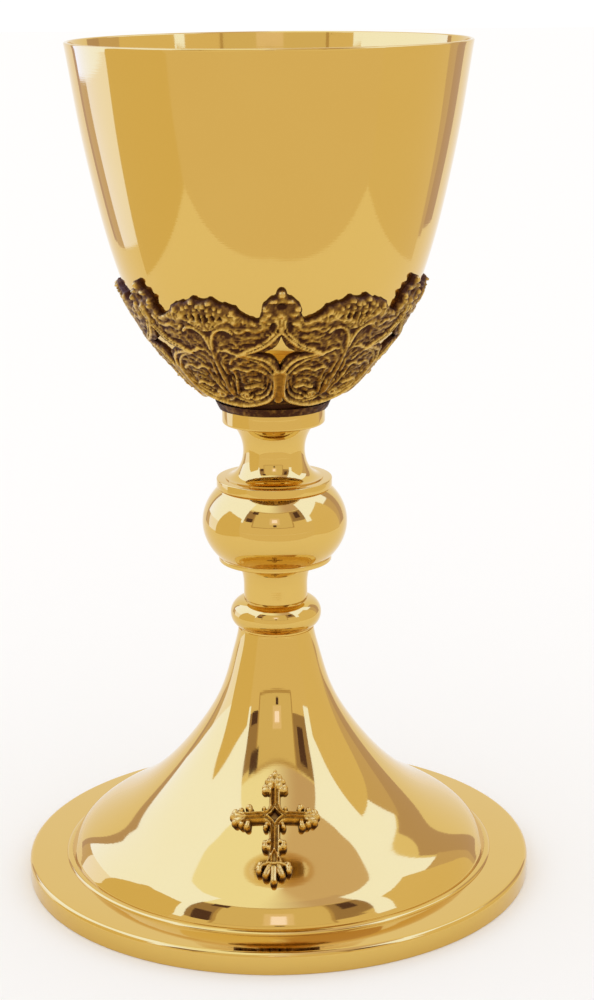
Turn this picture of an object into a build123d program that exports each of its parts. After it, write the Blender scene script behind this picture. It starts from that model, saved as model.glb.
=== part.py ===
from build123d import *
import math
import os

# Communion chalice: a spun cup in a cast, pierced calyx, on a turned stem with a knop, on a bell-shaped
# foot. One tie rod, screwed into the boss under the cup, clamps the whole stack from inside the foot.
# Units are millimetres. The origin is the centre of the base's underside, +Z runs up the stem, and the
# cross on the foot faces -Y. Outlines are drawn as (radius, height).

# ---- driving dimensions -------------------------------------------------------------------------
HEIGHT = 220.0                 # base underside to lip
LIP_RADIUS = 50.8
BASE_RADIUS = 67.5

# levels up the stem, each the top of the piece that it is named after
RIM_TOP = 5.7
FOOT_TOP = 67.4
BEAD_TOP = 75.5
LOWER_STEM_TOP = 86.0
BOTTOM_FLANGE_TOP = 87.5
KNOP_TOP = 105.9
TOP_FLANGE_TOP = 108.3
UPPER_STEM_TOP = 122.9
COLLAR_TOP = 127.1
CALYX_RING_TOP = 129.2

# sheet and casting thicknesses
CUP_WALL = 1.0
FOOT_WALL = 1.2
KNOP_WALL = 1.5
CALYX_WALL = 2.4
CALYX_FLOOR = 1.2

# base rim
RIM_SKIRT_INNER = 64.3         # inside of the skirt that stands on the table
RIM_PLATE = 1.5                # thickness of the flat ring
RIM_HOLE = 53.6                # hole in the flat ring
RIM_EDGE_ROUND = 1.3
STEP_WIDTH = 1.5               # small raised step round the foot of the bell
STEP_HEIGHT = 0.8

# foot bell
BELL_NECK_RADIUS = 10.0
BELL_SIDE_RADIUS = 56.0
BELL_ROLL_RADIUS = 52.9        # where the flare turns over to the vertical side
BELL_ROLL_LEVEL = 11.5
BELL_SIDE_LEVEL = 6.3

# stem pieces
BEAD_RADIUS = 12.0             # half-round bead on the joint between stem and foot
BEAD_NECK = 8.0
LOWER_STEM_RADIUS = 8.4
LOWER_STEM_FLARE = 11.4
LOWER_STEM_FLARE_START = 79.0
BOTTOM_FLANGE_RADIUS = 14.85
KNOP_RADIUS = 19.0
KNOP_HALF_HEIGHT = 14.6
KNOP_CENTRE = 96.5
TOP_FLANGE_RADIUS = 15.1
SPIGOT_RADIUS = 11.6           # flange spigots that centre the hollow knop
SPIGOT_HEIGHT = 1.5
SLEEVE_RADIUS = 6.5            # tube inside the knop that takes the clamping load
UPPER_STEM_WAIST = 8.05
UPPER_STEM_WAIST_LEVEL = 115.6
UPPER_STEM_BASE = 12.8
UPPER_STEM_BASE_EDGE = 0.3
UPPER_STEM_HEAD = 11.0
COLLAR_RADIUS = 13.36
COLLAR_ROUND = 0.7
CALYX_RING_RADIUS = 15.2
CALYX_RING_FOOT = 14.2

# tie rod and what it holds
ROD_RADIUS = 4.0
ROD_BORE = 4.3                 # clearance bore through every clamped piece
ROD_BOTTOM = 31.5
ROD_TOP = 131.0
BOSS_RADIUS = 6.5
BOSS_BORE = 6.6                # bore of the pieces that the boss passes through
BOSS_BOTTOM = 124.0
BRIDGE_BOTTOM = 43.0
BRIDGE_TOP = 47.0
WASHER_THICKNESS = 2.0
WASHER_RADIUS = 7.0
WASHER_SPLIT = 1.2
NUT_HEIGHT = 6.5
NUT_ACROSS_FLATS = 13.0

# calyx ornament: one finial and one lobe in each sixth of the turn
REPEATS = 6
CALYX_TURN = 5.0               # degrees that the front finial stands to the +X side of the cross
CALYX_FULL_TOP = 154.0         # the wall is whole up to here, and finials and lobes rise from it
FINIAL_TOP = 163.3
FINIAL_HALF_WIDTH = 4.9
LOBE_TOP = 160.5
LOBE_HALF_WIDTH = 10.0
STAR_LEVEL = 146.7             # centre of the pierced four-pointed star
STAR_UP = 4.7
STAR_DOWN = 4.8
STAR_ACROSS = 5.8
STAR_WAIST = 0.36              # how far the star's hollow sides stay out, from 0 to 1

# cross on the foot
CROSS_RADIUS = 32.4            # where its crossing lies on the bell
CROSS_LEVEL = 26.1
CROSS_SLOPE = 41.0             # degrees that the bell falls there
CROSS_UP = 12.4
CROSS_DOWN = 19.8
CROSS_SIDE = 11.4
CROSS_ARM = 4.2
CROSS_THICKNESS = 2.4
BUD_RADIUS = 2.3
STUD_RADIUS = 1.0
STUD_PLACES = (6.0, -12.0)     # along the cross, from its crossing
STUD_INWARD = 4.6
STUD_HOLE = 1.1
SMALL_NUT_GAP = 0.25           # between the flat nut and the curved inside of the bell
SMALL_NUT_HEIGHT = 1.6
SMALL_NUT_ACROSS_FLATS = 4.0


# ---- shared helpers -----------------------------------------------------------------------------
def lathe(*lines):
    """Turn a closed outline of (radius, height) about the axis of the chalice."""
    return revolve(Plane.XZ * make_face(Curve() + list(lines)), axis=Axis.Z)


def ring(inner, outer, low, high):
    """A plain turned ring."""
    corners = [(inner, low), (outer, low), (outer, high), (inner, high)]
    return lathe(Polyline(*corners, close=True))


def offset_line(line, distance, count=15):
    """A smooth line beside another: to its left if the distance is positive, else to its right."""
    points = []
    for step in range(count):
        spot = line.position_at(step / (count - 1))
        along = line.tangent_at(step / (count - 1))
        points.append((spot.X - along.Y * distance, spot.Y + along.X * distance))
    first = line.tangent_at(0)
    last = line.tangent_at(1)
    return Spline(*points, tangents=[(first.X, first.Y), (last.X, last.Y)])


def hexagon_nut(across_flats, bore, height):
    """A hexagon nut standing on the origin."""
    outline = RegularPolygon(across_flats / 2, 6, major_radius=False) - Circle(bore)
    return extrude(outline, height)


def facing(turn, level):
    """A plane at the axis that looks outwards, its X along the wall to the right and its Y up."""
    angle = math.radians(turn)
    outward = (math.sin(angle), -math.cos(angle), 0)
    right = (math.cos(angle), math.sin(angle), 0)
    return Plane(origin=(0, 0, level), x_dir=right, z_dir=outward)


# ---- cup ----------------------------------------------------------------------------------------
CUP_BOTTOM = 132.2


def cup_line():
    """Outside of the bowl, from its lowest point to the lip."""
    points = [(0, CUP_BOTTOM), (17, 135.2), (29, 143.6), (36.9, 157.4), (44.3, 183), (48.1, 202.3),
              (LIP_RADIUS, HEIGHT - CUP_WALL / 2)]
    return Spline(*points, tangents=[(1, 0), (0.17, 1)])


def cup_filled():
    outside = cup_line()
    top = outside @ 1
    close = Polyline((top.X, top.Y), (0, top.Y), (0, CUP_BOTTOM))
    return lathe(outside, close)


def cup():
    """Spun bowl of even thickness, with a rounded lip."""
    outside = cup_line()
    inside = offset_line(outside, CUP_WALL)
    outer_lip = outside @ 1
    inner_lip = inside @ 1
    middle = ((outer_lip.X + inner_lip.X) / 2, HEIGHT)
    lip = ThreePointArc(outer_lip, middle, inner_lip)
    bottom = Line((0, CUP_BOTTOM), (0, CUP_BOTTOM + CUP_WALL))
    return lathe(outside, lip, inside, bottom)


def cup_boss():
    """Threaded socket brazed under the bowl, its head shaped to the bowl's underside."""
    blank = Pos(0, 0, BOSS_BOTTOM) * extrude(Circle(BOSS_RADIUS), CUP_BOTTOM + 2 - BOSS_BOTTOM)
    thread = Pos(0, 0, BOSS_BOTTOM) * extrude(Circle(ROD_RADIUS), ROD_TOP - BOSS_BOTTOM)
    return blank - thread - cup_filled()


# ---- calyx --------------------------------------------------------------------------------------
def calyx_line():
    """Outside of the cast cup-holder, from its foot ring to above the finials."""
    points = [(CALYX_RING_RADIUS, CALYX_RING_TOP), (23.8, 134.9), (30.2, 142.6), (35.2, 150.3), (40.2, 164)]
    return Spline(*points, tangents=[(1, 0.35), (0.26, 1)])


def calyx_wall(top):
    """The calyx's turned wall up to a level, before it is cut and pierced, with its flat floor."""
    outside = calyx_line()
    inside = offset_line(outside, CALYX_WALL)
    foot = Line(inside @ 0, outside @ 0)
    head = Line(outside @ 1, inside @ 1)
    wall = lathe(outside, head, inside, foot)
    floor_level = CALYX_RING_TOP
    below = ring(0, LIP_RADIUS, floor_level, top)
    floor = ring(BOSS_BORE, CALYX_RING_RADIUS, floor_level, floor_level + CALYX_FLOOR)
    return (wall & below) + floor - ring(0, BOSS_BORE, floor_level - 1, floor_level + 4)


def finial_outline():
    """Pointed leaf with swelling sides."""
    low = CALYX_FULL_TOP - STAR_LEVEL - 1
    shoulder = (FINIAL_HALF_WIDTH, 157.3 - STAR_LEVEL)
    tip = (0, FINIAL_TOP - STAR_LEVEL)
    right = Line((FINIAL_HALF_WIDTH * 0.7, low), shoulder)
    right_tip = Spline(shoulder, tip, tangents=[(-0.6, 1), (-0.5, 1)])
    half = [right, right_tip]
    other = [mirror(line, about=Plane.YZ) for line in half]
    base = Line((-FINIAL_HALF_WIDTH * 0.7, low), (FINIAL_HALF_WIDTH * 0.7, low))
    return make_face(Curve() + half + other + [base])


def lobe_outline():
    """Round-headed shell between two finials."""
    low = CALYX_FULL_TOP - STAR_LEVEL - 1
    high = LOBE_TOP - STAR_LEVEL
    head = ThreePointArc((-LOBE_HALF_WIDTH, low), (0, high), (LOBE_HALF_WIDTH, low))
    base = Line((-LOBE_HALF_WIDTH, low), (LOBE_HALF_WIDTH, low))
    return make_face(Curve() + [head, base])


def star_outline():
    """Four-pointed star with hollow sides."""
    tips = [(STAR_ACROSS, 0), (0, STAR_UP), (-STAR_ACROSS, 0), (0, -STAR_DOWN)]
    sides = []
    for index, tip in enumerate(tips):
        following = tips[(index + 1) % len(tips)]
        middle = ((tip[0] + following[0]) * STAR_WAIST, (tip[1] + following[1]) * STAR_WAIST)
        sides.append(ThreePointArc(tip, middle, following))
    return make_face(Curve() + sides)


def calyx():
    """Cast openwork shell fitted to the bowl: finials and lobes round its edge, stars through it."""
    tall = calyx_wall(LIP_RADIUS + CALYX_FULL_TOP)
    shell = calyx_wall(CALYX_FULL_TOP)
    sixth = 360 / REPEATS
    for repeat in range(REPEATS):
        turn = CALYX_TURN + repeat * sixth
        shell += tall & extrude(facing(turn, STAR_LEVEL) * finial_outline(), LIP_RADIUS)
        shell += tall & extrude(facing(turn + sixth / 2, STAR_LEVEL) * lobe_outline(), LIP_RADIUS)
    for repeat in range(REPEATS):
        turn = CALYX_TURN + repeat * sixth
        shell -= extrude(facing(turn, STAR_LEVEL) * star_outline(), LIP_RADIUS)
    return shell - cup_filled()


def calyx_ring():
    """Tapered seat ring under the calyx."""
    corners = [(BOSS_BORE, COLLAR_TOP), (CALYX_RING_FOOT, COLLAR_TOP), (CALYX_RING_RADIUS, CALYX_RING_TOP),
               (BOSS_BORE, CALYX_RING_TOP)]
    return lathe(Polyline(*corners, close=True))


# ---- stem ---------------------------------------------------------------------------------------
def collar():
    """Plain disc under the calyx, with a rounded lower edge."""
    blank = ring(BOSS_BORE, COLLAR_RADIUS, BOSS_BOTTOM, COLLAR_TOP)
    blank += ring(ROD_BORE, COLLAR_RADIUS, UPPER_STEM_TOP, BOSS_BOTTOM)
    lower_edge = blank.edges().filter_by(GeomType.CIRCLE).filter_by(lambda e: e.radius > BOSS_BORE + 1)
    return fillet(lower_edge.sort_by(Axis.Z)[0], COLLAR_ROUND)


def upper_stem():
    """Waisted spool: a quarter-ellipse flare at its foot and a softer one at its head."""
    foot_level = TOP_FLANGE_TOP + UPPER_STEM_BASE_EDGE
    foot = (UPPER_STEM_BASE, foot_level)
    waist = (UPPER_STEM_WAIST, UPPER_STEM_WAIST_LEVEL)
    head = (UPPER_STEM_HEAD, UPPER_STEM_TOP)
    flare = EllipticalCenterArc((UPPER_STEM_BASE, UPPER_STEM_WAIST_LEVEL), UPPER_STEM_BASE - UPPER_STEM_WAIST,
                                UPPER_STEM_WAIST_LEVEL - foot_level, start_angle=180, arc_size=90)
    rise = Spline(waist, (8.85, 119.6), head, tangents=[(0, 1), (1, 1.1)])
    back = Polyline(head, (ROD_BORE, UPPER_STEM_TOP), (ROD_BORE, TOP_FLANGE_TOP),
                    (UPPER_STEM_BASE, TOP_FLANGE_TOP), foot)
    return lathe(flare, rise, back)


def knop_top_flange():
    """Disc over the knop, with a spigot that centres it."""
    disc = ring(ROD_BORE, TOP_FLANGE_RADIUS, KNOP_TOP, TOP_FLANGE_TOP)
    rims = disc.edges().filter_by(GeomType.CIRCLE).filter_by(lambda e: e.radius > TOP_FLANGE_RADIUS - 1)
    return fillet(rims, 0.3) + ring(ROD_BORE, SPIGOT_RADIUS, KNOP_TOP - SPIGOT_HEIGHT, KNOP_TOP)


def knop_section(radius, half_height):
    """Half of the knop's ellipse, cut off level at its two flanges."""
    oval = Pos(0, KNOP_CENTRE) * Ellipse(radius, half_height)
    band = Pos(radius, (BOTTOM_FLANGE_TOP + KNOP_TOP) / 2) * Rectangle(2 * radius, KNOP_TOP - BOTTOM_FLANGE_TOP)
    return oval & band


def knop():
    """Hollow flattened ball, spun in brass and open at both ends."""
    outside = knop_section(KNOP_RADIUS, KNOP_HALF_HEIGHT)
    inside = knop_section(KNOP_RADIUS - KNOP_WALL, KNOP_HALF_HEIGHT - KNOP_WALL)
    return revolve(Plane.XZ * (outside - inside), axis=Axis.Z)


def knop_sleeve():
    """Spacer tube round the tie rod, between the two flange spigots."""
    return ring(ROD_BORE, SLEEVE_RADIUS, BOTTOM_FLANGE_TOP + SPIGOT_HEIGHT, KNOP_TOP - SPIGOT_HEIGHT)


def knop_bottom_flange():
    """Thin disc under the knop, with a spigot that centres it."""
    disc = ring(ROD_BORE, BOTTOM_FLANGE_RADIUS, LOWER_STEM_TOP, BOTTOM_FLANGE_TOP)
    rims = disc.edges().filter_by(GeomType.CIRCLE).filter_by(lambda e: e.radius > BOTTOM_FLANGE_RADIUS - 1)
    spigot = ring(ROD_BORE, SPIGOT_RADIUS, BOTTOM_FLANGE_TOP, BOTTOM_FLANGE_TOP + SPIGOT_HEIGHT)
    return fillet(rims, 0.4) + spigot


def lower_stem():
    """Short column that flares out under the knop."""
    base = (LOWER_STEM_RADIUS, BEAD_TOP)
    start = (LOWER_STEM_RADIUS, LOWER_STEM_FLARE_START)
    flare = EllipticalCenterArc((LOWER_STEM_FLARE, LOWER_STEM_FLARE_START), LOWER_STEM_FLARE - LOWER_STEM_RADIUS,
                                LOWER_STEM_TOP - LOWER_STEM_FLARE_START, start_angle=90, arc_size=90)
    back = Polyline((LOWER_STEM_FLARE, LOWER_STEM_TOP), (ROD_BORE, LOWER_STEM_TOP), (ROD_BORE, BEAD_TOP), base)
    return lathe(Line(base, start), flare, back)


def stem_bead():
    """Half-round ring on the joint between stem and foot."""
    low = (BEAD_NECK, FOOT_TOP)
    high = (BEAD_NECK, BEAD_TOP)
    belly = ThreePointArc(low, (BEAD_RADIUS, (FOOT_TOP + BEAD_TOP) / 2), high)
    back = Polyline(high, (ROD_BORE, BEAD_TOP), (ROD_BORE, FOOT_TOP), low)
    return lathe(belly, back)


# ---- foot ---------------------------------------------------------------------------------------
def bell_lines():
    """Outside of the foot's bell: the long hollow flare, the roll-over, and the short vertical side."""
    flare = Spline((BELL_NECK_RADIUS, FOOT_TOP), (11.4, 61.2), (14.8, 50.1), (21.6, 38.5), (31.4, 27),
                   (41.2, 19.2), (48.4, 14.9), (BELL_ROLL_RADIUS, BELL_ROLL_LEVEL),
                   tangents=[(0.12, -1), (1, -1.03)])
    roll = Spline((BELL_ROLL_RADIUS, BELL_ROLL_LEVEL), (55.3, 8.1), (BELL_SIDE_RADIUS, BELL_SIDE_LEVEL),
                  tangents=[(1, -1.03), (0, -1)])
    side = Line((BELL_SIDE_RADIUS, BELL_SIDE_LEVEL), (BELL_SIDE_RADIUS, RIM_TOP))
    return flare, roll, side


def bell_filled(grow=0.0):
    """The bell with no hollow, grown outwards by a distance."""
    if grow == 0:
        flare, roll, side = bell_lines()
    else:
        flare, roll, side = [offset_line(line, grow) for line in bell_lines()[:2]] + [None]
        side = Line(roll @ 1, (BELL_SIDE_RADIUS + grow, RIM_TOP))
    top = flare @ 0
    close = Polyline((BELL_SIDE_RADIUS + grow, RIM_TOP), (0, RIM_TOP), (0, top.Y), top)
    return lathe(flare, roll, side, close)


def bell_cavity():
    """The hollow inside the bell, up to the flat under its neck."""
    inner_flare, inner_roll = [offset_line(line, -FOOT_WALL) for line in bell_lines()[:2]]
    inner_side = Line(inner_roll @ 1, (BELL_SIDE_RADIUS - FOOT_WALL, RIM_TOP))
    top = inner_flare @ 0
    close = Polyline((BELL_SIDE_RADIUS - FOOT_WALL, RIM_TOP), (0, RIM_TOP), (0, top.Y), top)
    hollow = lathe(inner_flare, inner_roll, inner_side, close)
    return hollow & ring(0, BASE_RADIUS, RIM_TOP, FOOT_TOP - FOOT_WALL)


def on_bell():
    """The plane that touches the bell where the cross lies, its Y up the slope and its Z outwards."""
    slope = math.radians(CROSS_SLOPE)
    outward = (0, -math.sin(slope), math.cos(slope))
    return Plane(origin=(0, -CROSS_RADIUS, CROSS_LEVEL), x_dir=(1, 0, 0), z_dir=outward)


def foot():
    """Spun bell with a flat, bored neck and two holes for the studs of the cross."""
    bore = ring(0, ROD_BORE, RIM_TOP, HEIGHT / 2)
    shell = bell_filled() - bell_cavity() - bore
    for place in STUD_PLACES:
        hole = extrude(Pos(0, place) * Circle(STUD_HOLE), CROSS_THICKNESS * 3, both=True)
        shell -= on_bell() * hole
    return shell


def base_rim():
    """Flat ring with a turned-down skirt, and a small step that the bell is brazed into."""
    skirt = Polyline((RIM_SKIRT_INNER, 0), (BASE_RADIUS, 0), (BASE_RADIUS, RIM_TOP - RIM_EDGE_ROUND))
    bend = math.sqrt(0.5) * RIM_EDGE_ROUND
    centre = (BASE_RADIUS - RIM_EDGE_ROUND, RIM_TOP - RIM_EDGE_ROUND)
    edge = ThreePointArc((BASE_RADIUS, centre[1]), (centre[0] + bend, centre[1] + bend), (centre[0], RIM_TOP))
    step_outer = BELL_SIDE_RADIUS + STEP_WIDTH
    top = Line((centre[0], RIM_TOP), (step_outer, RIM_TOP))
    step = ThreePointArc((step_outer, RIM_TOP), (BELL_SIDE_RADIUS + STEP_WIDTH * 0.7, RIM_TOP + STEP_HEIGHT * 0.7),
                         (BELL_SIDE_RADIUS, RIM_TOP + STEP_HEIGHT))
    plate = RIM_TOP - RIM_PLATE
    under = Polyline((BELL_SIDE_RADIUS, RIM_TOP + STEP_HEIGHT), (BELL_SIDE_RADIUS, RIM_TOP), (RIM_HOLE, RIM_TOP),
                     (RIM_HOLE, plate), (RIM_SKIRT_INNER, plate), (RIM_SKIRT_INNER, 0))
    return lathe(skirt, edge, top, step, under)


# ---- cross --------------------------------------------------------------------------------------
def cross_outline():
    """Latin cross with three-lobed ends, paired buds along the arms and a diamond at the crossing."""
    upright = Pos(0, (CROSS_UP - CROSS_DOWN) / 2) * Rectangle(CROSS_ARM, CROSS_UP + CROSS_DOWN - 2 * BUD_RADIUS)
    outline = upright + Rectangle(2 * CROSS_SIDE - 2 * BUD_RADIUS, CROSS_ARM)
    outline += Rot(0, 0, 45) * Rectangle(CROSS_ARM * 1.25, CROSS_ARM * 1.25)
    arms = [(0, CROSS_SIDE, 1), (90, CROSS_UP, 1), (180, CROSS_SIDE, 1), (270, CROSS_DOWN, 2)]
    for turn, length, bud_pairs in arms:
        lobes = [Pos(length - BUD_RADIUS, 0) * Circle(BUD_RADIUS)]
        for side in (-1, 1):
            lobes.append(Pos(length - 2 * BUD_RADIUS, side * BUD_RADIUS) * Circle(BUD_RADIUS * 0.95))
            for pair in range(bud_pairs):
                out = CROSS_ARM + 0.9 + pair * 5.2
                lobes.append(Pos(out, side * CROSS_ARM * 0.5) * Circle(BUD_RADIUS * 0.6))
        for lobe in lobes:
            outline += Rot(0, 0, turn) * lobe
    return outline


def cross():
    """Cast cross whose back follows the bell."""
    block = on_bell() * extrude(cross_outline(), CROSS_THICKNESS * 4, both=True)
    return block & (bell_filled(CROSS_THICKNESS) - bell_filled())


def cross_studs():
    """Studs brazed to the back of the cross, through the bell's wall."""
    studs = []
    for place in STUD_PLACES:
        rod = Pos(0, place, -STUD_INWARD) * extrude(Circle(STUD_RADIUS), STUD_INWARD * 2)
        studs.append(on_bell() * rod - cross())
    return Compound(children=[piece.solids().sort_by(Axis.Z)[0] for piece in studs])


def cross_nuts():
    """Small nuts on the studs, inside the foot."""
    nuts = []
    inner = bell_cavity()
    for place in STUD_PLACES:
        drop = FOOT_WALL + SMALL_NUT_GAP + SMALL_NUT_HEIGHT
        spot = Pos(0, place, -drop - bell_sag(place))
        nuts.append(on_bell() * spot * hexagon_nut(SMALL_NUT_ACROSS_FLATS, STUD_RADIUS, SMALL_NUT_HEIGHT))
    return Compound(children=[nut.solid() for nut in nuts])


def bell_sag(place):
    """How far the bell's outer wall lies below the plane of the cross, at a place along the cross."""
    ray = Axis((on_bell() * Pos(0, place, CROSS_THICKNESS * 3)).position, -on_bell().z_dir)
    hits = bell_filled().find_intersection_points(ray)
    spots = [on_bell().to_local_coords(point).Z for point, normal in hits]
    return -max(spots)


# ---- tie rod and its fastenings ------------------------------------------------------------------
def tie_rod():
    """Threaded rod from inside the foot up into the boss."""
    rod = Pos(0, 0, ROD_BOTTOM) * extrude(Circle(ROD_RADIUS), ROD_TOP - ROD_BOTTOM)
    ends = rod.edges().filter_by(GeomType.CIRCLE)
    return chamfer(ends, 0.6)


def foot_bridge():
    """Cone washer that wedges in the neck of the bell."""
    return bell_cavity() & ring(ROD_BORE, BASE_RADIUS, BRIDGE_BOTTOM, BRIDGE_TOP)


def lock_washer():
    """Split spring washer."""
    whole = ring(ROD_RADIUS + 0.2, WASHER_RADIUS, BRIDGE_BOTTOM - WASHER_THICKNESS, BRIDGE_BOTTOM)
    middle = BRIDGE_BOTTOM - WASHER_THICKNESS / 2
    return whole - Pos(WASHER_RADIUS, 0, middle) * Box(WASHER_RADIUS * 2, WASHER_SPLIT, WASHER_THICKNESS * 2)


def rod_nut():
    """Hexagon nut that clamps the stack."""
    level = BRIDGE_BOTTOM - WASHER_THICKNESS - NUT_HEIGHT
    nut = Pos(0, 0, level) * hexagon_nut(NUT_ACROSS_FLATS, ROD_RADIUS, NUT_HEIGHT)
    rounder = ring(0, NUT_ACROSS_FLATS / 2 + 0.75, level, level + NUT_HEIGHT)
    return nut & rounder


# ---- write one file for each piece ---------------------------------------------------------------
PIECES = {
    "cup": cup, "cup_boss": cup_boss, "calyx": calyx, "calyx_ring": calyx_ring, "collar": collar,
    "upper_stem": upper_stem, "knop_top_flange": knop_top_flange, "knop": knop, "knop_sleeve": knop_sleeve,
    "knop_bottom_flange": knop_bottom_flange, "lower_stem": lower_stem, "stem_bead": stem_bead,
    "foot": foot, "base_rim": base_rim, "cross": cross, "cross_studs": cross_studs, "cross_nuts": cross_nuts,
    "tie_rod": tie_rod, "foot_bridge": foot_bridge, "lock_washer": lock_washer, "rod_nut": rod_nut,
}

os.makedirs("parts", exist_ok=True)
for name, build in PIECES.items():
    export_step(build(), "parts/" + name + ".step")
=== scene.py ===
import math

import bmesh
import bpy
import numpy as np
from mathutils import Matrix, Vector


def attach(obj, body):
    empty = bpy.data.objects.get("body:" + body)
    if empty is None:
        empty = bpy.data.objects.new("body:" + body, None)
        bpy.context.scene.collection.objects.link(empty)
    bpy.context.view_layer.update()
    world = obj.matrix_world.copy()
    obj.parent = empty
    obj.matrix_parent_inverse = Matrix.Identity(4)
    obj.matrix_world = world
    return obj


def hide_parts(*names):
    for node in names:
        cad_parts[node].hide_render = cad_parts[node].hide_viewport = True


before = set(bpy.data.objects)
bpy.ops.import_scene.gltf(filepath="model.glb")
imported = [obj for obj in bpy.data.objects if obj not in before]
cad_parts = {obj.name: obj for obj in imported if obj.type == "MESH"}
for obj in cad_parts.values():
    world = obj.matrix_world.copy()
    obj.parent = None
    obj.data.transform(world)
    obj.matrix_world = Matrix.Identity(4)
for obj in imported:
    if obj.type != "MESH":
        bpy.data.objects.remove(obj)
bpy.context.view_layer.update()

scene = bpy.context.scene

# ==== Base rim ====
# A flat brass ring with a turned-down skirt, turned on the lathe, gold plated and mirror-polished.
# The spun bell of the foot is brazed into the small raised step on it. Sizes here are millimetres.

MM = 0.001
TURNED_CREASE = 28             # degrees between faces, past which an edge is sharp
MARK_DEPTH = 0.0002            # metres, the deepest tool line or grain
GOLD = (0.737, 0.497, 0.134)
WORN_GOLD = (0.726, 0.480, 0.123)


def corner_arc(centre, across, up, start, end, count):
    """Points on an ellipse of (radius, height), between two angles in degrees."""
    angles = np.radians(np.linspace(start, end, count))
    return [(centre[0] + across * math.cos(a), centre[1] + up * math.sin(a)) for a in angles]


def rounded_edge(radius, low, high, low_round, high_round, low_count=7, high_count=7):
    """The outer edge of a disc, rounded at its underside and at its top."""
    under = corner_arc((radius - low_round, low + low_round), low_round, low_round, -90, 0, low_count)
    over = corner_arc((radius - high_round, high - high_round), high_round, high_round, 0, 90, high_count)
    return under + over


def turned_mesh(name, outline, around=256):
    """Turn a closed outline of (radius, height) about the axis of the chalice."""
    rings = []
    points = []
    for radius, height in outline:
        if radius < 1e-6:
            rings.append([len(points)] * around)
            points.append((0.0, 0.0, height * MM))
            continue
        rings.append(list(range(len(points), len(points) + around)))
        for step in range(around):
            angle = 2 * math.pi * step / around
            points.append((radius * MM * math.cos(angle), radius * MM * math.sin(angle), height * MM))
    faces = []
    for index, ring in enumerate(rings):
        following = rings[(index + 1) % len(rings)]
        for step in range(around):
            after = (step + 1) % around
            corners = [ring[step], ring[after], following[after], following[step]]
            distinct = list(dict.fromkeys(corners))
            if len(distinct) > 2:
                faces.append(distinct)
    mesh = bpy.data.meshes.new(name)
    mesh.from_pydata(points, [], faces)
    face_outwards(mesh)
    mesh.shade_smooth()
    mesh.set_sharp_from_angle(angle=math.radians(TURNED_CREASE))
    return mesh


def face_outwards(mesh):
    sheet = bmesh.new()
    sheet.from_mesh(mesh)
    bmesh.ops.recalc_face_normals(sheet, faces=sheet.faces)
    sheet.to_mesh(mesh)
    sheet.free()


def stand_in(mesh, node, material):
    """Show this mesh in place of a plain part of the frame, on the one rigid body."""
    piece = bpy.data.objects.new(mesh.name, mesh)
    scene.collection.objects.link(piece)
    mesh.materials.clear()
    mesh.materials.append(material)
    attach(piece, "root")
    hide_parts(node)


def new_node(tree, kind, *sources, **settings):
    """Add a node: sources fill its sockets in order, and settings go on the socket or property they name."""
    node = tree.nodes.new(kind)
    filled = list(enumerate(sources))
    for key, value in settings.items():
        if key in node.inputs.keys():
            filled.append((key, value))
        else:
            setattr(node, key, value)
    for key, value in filled:
        if isinstance(value, bpy.types.NodeSocket):
            tree.links.new(value, node.inputs[key])
        else:
            node.inputs[key].default_value = value
    return node


def bare_metal(name):
    """A metal to build on: the material, its tree, its shader's sockets and the piece's own coordinates."""
    material = bpy.data.materials.new(name)
    material.use_nodes = True
    tree = material.node_tree
    surface = tree.nodes["Principled BSDF"].inputs
    surface["Metallic"].default_value = 1.0
    return material, tree, surface, new_node(tree, "ShaderNodeTexCoord").outputs["Object"]


def fine_marks(tree, surface, vector, scale, strength):
    """Tool lines or grain, as bump."""
    marks = new_node(tree, "ShaderNodeTexNoise", Vector=vector, Scale=scale, Detail=2.0)
    bump = new_node(tree, "ShaderNodeBump", Strength=strength, Distance=MARK_DEPTH, Height=marks.outputs["Fac"])
    tree.links.new(bump.outputs["Normal"], surface["Normal"])


def outline_coordinates(tree, place):
    """(distance from the axis, height): a pattern on these runs round the piece as tool marks do."""
    split = new_node(tree, "ShaderNodeSeparateXYZ", place).outputs
    flat = new_node(tree, "ShaderNodeCombineXYZ", X=split["X"], Y=split["Y"])
    radius = new_node(tree, "ShaderNodeVectorMath", flat.outputs[0], operation="LENGTH")
    return new_node(tree, "ShaderNodeCombineXYZ", X=radius.outputs["Value"], Y=split["Z"]).outputs[0]


def turned_metal(name, colour, worn, smooth, hazy, line_scale, line_depth):
    """Metal worked on the lathe: fine tool lines round the axis, and a cloudy, uneven polish."""
    material, tree, surface, place = bare_metal(name)
    fine_marks(tree, surface, outline_coordinates(tree, place), line_scale, line_depth)
    cloud = new_node(tree, "ShaderNodeTexNoise", Vector=place, Scale=55.0, Detail=4.0).outputs["Fac"]
    sheen = new_node(tree, "ShaderNodeMapRange", cloud, 0.35, 0.75, smooth, hazy)
    tint = new_node(tree, "ShaderNodeMix", data_type="RGBA", Factor=cloud, A=(*colour, 1.0), B=(*worn, 1.0))
    tree.links.new(sheen.outputs["Result"], surface["Roughness"])
    tree.links.new(tint.outputs["Result"], surface["Base Color"])
    return material


POLISHED_GOLD = turned_metal("polished gold plate", GOLD, WORN_GOLD, smooth=0.035, hazy=0.075,
                             line_scale=2600.0, line_depth=0.012)


def polished_part(name, node, outline, around=256):
    """Turn an outline and show it, gold plated and polished, in place of a plain part of the frame."""
    stand_in(turned_mesh(name, outline, around), node, POLISHED_GOLD)

SKIRT_RADIUS = 67.5
SKIRT_INNER = 64.3
RIM_TOP = 5.7
RIM_EDGE_ROUND = 1.3
RIM_FOOT_ROUND = 0.3
PLATE_BOTTOM = 4.2
PLATE_HOLE = 53.6
BELL_SIDE_RADIUS = 56.0
STEP_WIDTH = 1.5
STEP_HEIGHT = 0.8

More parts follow.
